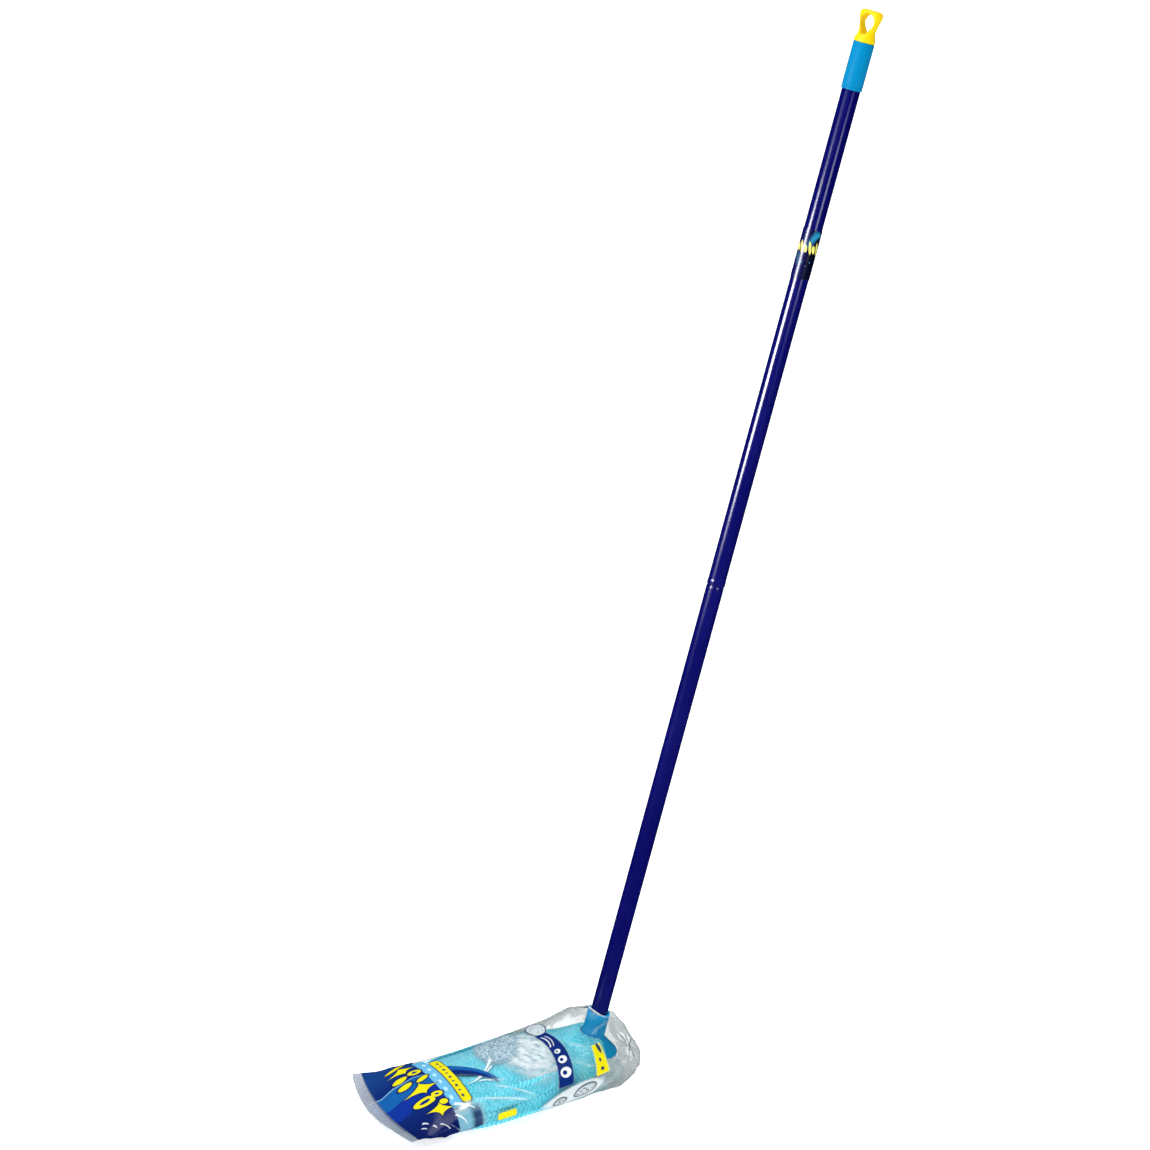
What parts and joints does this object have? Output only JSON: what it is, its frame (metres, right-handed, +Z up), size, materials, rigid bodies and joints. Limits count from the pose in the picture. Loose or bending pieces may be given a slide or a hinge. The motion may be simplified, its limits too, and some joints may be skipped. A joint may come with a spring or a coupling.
{
  "type": "strip mop with screw-in handle",
  "caption": "Microfibre strip mop with a leaning two-part tube handle screwed into a conical socket, the head still in its clear printed retail bag on the floor.",
  "frame": {"origin": "on the floor, under the middle of the whole mop's bounding box", "axes": "+Z up; the handle leans towards +X in the XZ plane; the bag lies towards -X, turned a little towards -Y"},
  "size_m": [0.6383, 0.2774, 1.3461],
  "materials": {
    "yellow_plastic": "semi-gloss",
    "light_blue_plastic": "satin",
    "navy_coated_steel": "gloss",
    "printed_decal": "gloss",
    "grey_plastic": "satin",
    "socket_plastic": "semi-gloss",
    "blue_microfibre": "matt",
    "white_microfibre": "matt",
    "printed_film": "gloss"
  },
  "bodies": {
    "head": {"socket": "socket_plastic", "clamp_plug": "grey_plastic", "bag_film": "printed_film", "strip_01": "blue_microfibre", "strip_02": "white_microfibre", "strip_03": "blue_microfibre", "strip_04": "blue_microfibre", "strip_05": "blue_microfibre", "strip_06": "white_microfibre", "strip_07": "blue_microfibre", "strip_08": "blue_microfibre", "strip_09": "blue_microfibre", "strip_10": "white_microfibre", "strip_11": "blue_microfibre", "strip_12": "blue_microfibre", "strip_13": "blue_microfibre", "strip_14": "white_microfibre"},
    "handle_travel": {"lower_tube": "navy_coated_steel"},
    "handle": {"upper_tube": "navy_coated_steel", "grip_sleeve": "light_blue_plastic", "hanger_cap": "yellow_plastic", "tube_label": "printed_decal", "thread_tip": "grey_plastic"}
  },
  "joints": [
    {"name": "handle_lift", "type": "slide", "parent": "head", "child": "handle_travel", "axis": [0.2411, 0, 0.9705], "range_m": [0, 0.02]},
    {"name": "handle_unscrew", "type": "hinge", "parent": "handle_travel", "child": "handle", "pos_m": [-0.00318, 0.06881, 0.09101], "axis": [0.2411, 0, 0.9705], "range_deg": [0, 1440]}
  ],
  "couplings": [
    {"joint": "handle_unscrew", "follows": "handle_lift", "rad_per_m": 1256.6}
  ]
}
